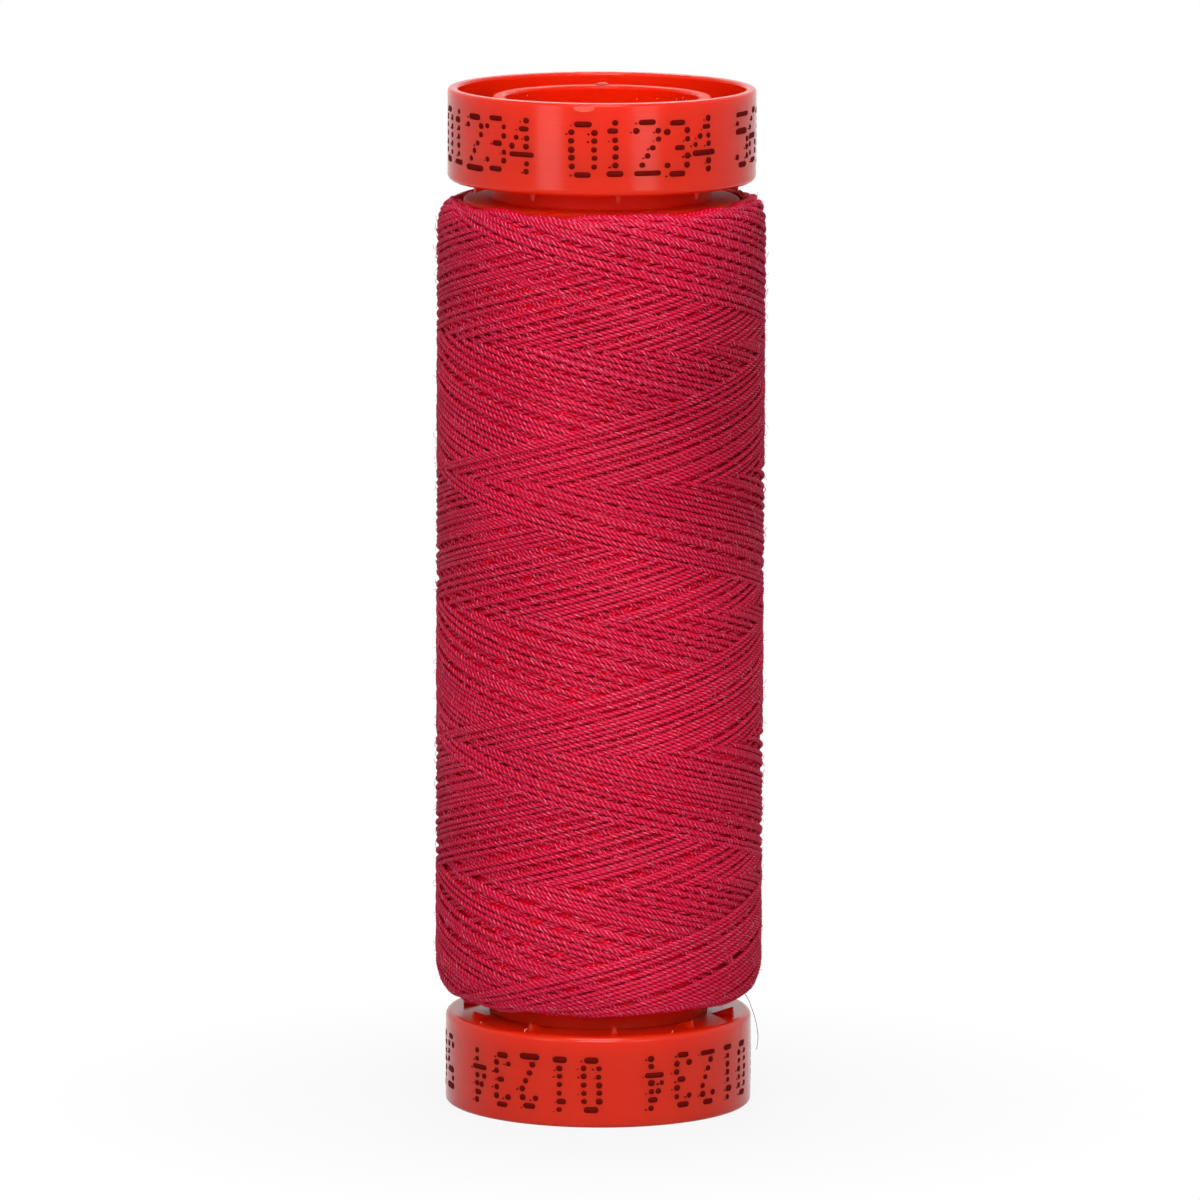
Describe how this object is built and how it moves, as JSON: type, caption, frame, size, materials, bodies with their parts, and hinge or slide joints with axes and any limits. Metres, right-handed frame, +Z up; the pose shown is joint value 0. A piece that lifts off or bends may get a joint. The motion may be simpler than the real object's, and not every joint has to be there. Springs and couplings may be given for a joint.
{
  "type": "sewing thread spool",
  "caption": "Small hollow sewing spool wound with crimson thread between two flanges, with a red push-fit cap at each end that closes on the end of the thread.",
  "frame": {"origin": "centre of the spool's base, in the plane of the lower cap's rim with both caps open", "axes": "+Z up along the spool's axis, -Y to the front"},
  "size_m": [0.0192, 0.0192, 0.06],
  "materials": {
    "red_plastic": "glossy moulded orange-red plastic",
    "crimson_thread": "silky spun three-ply thread"
  },
  "bodies": {
    "spool": {"core_tube": "red_plastic", "inner_windings": "crimson_thread", "outer_windings": "crimson_thread"},
    "upper_cap": {"upper_end_cap": "red_plastic"},
    "lower_cap": {"lower_end_cap": "red_plastic"}
  },
  "joints": [
    {"name": "upper_cap_snap", "type": "slide", "parent": "spool", "child": "upper_cap", "axis": [0, 0, -1], "range_m": [0, 0.0005]},
    {"name": "lower_cap_snap", "type": "slide", "parent": "spool", "child": "lower_cap", "axis": [0, 0, 1], "range_m": [0, 0.0005]}
  ]
}
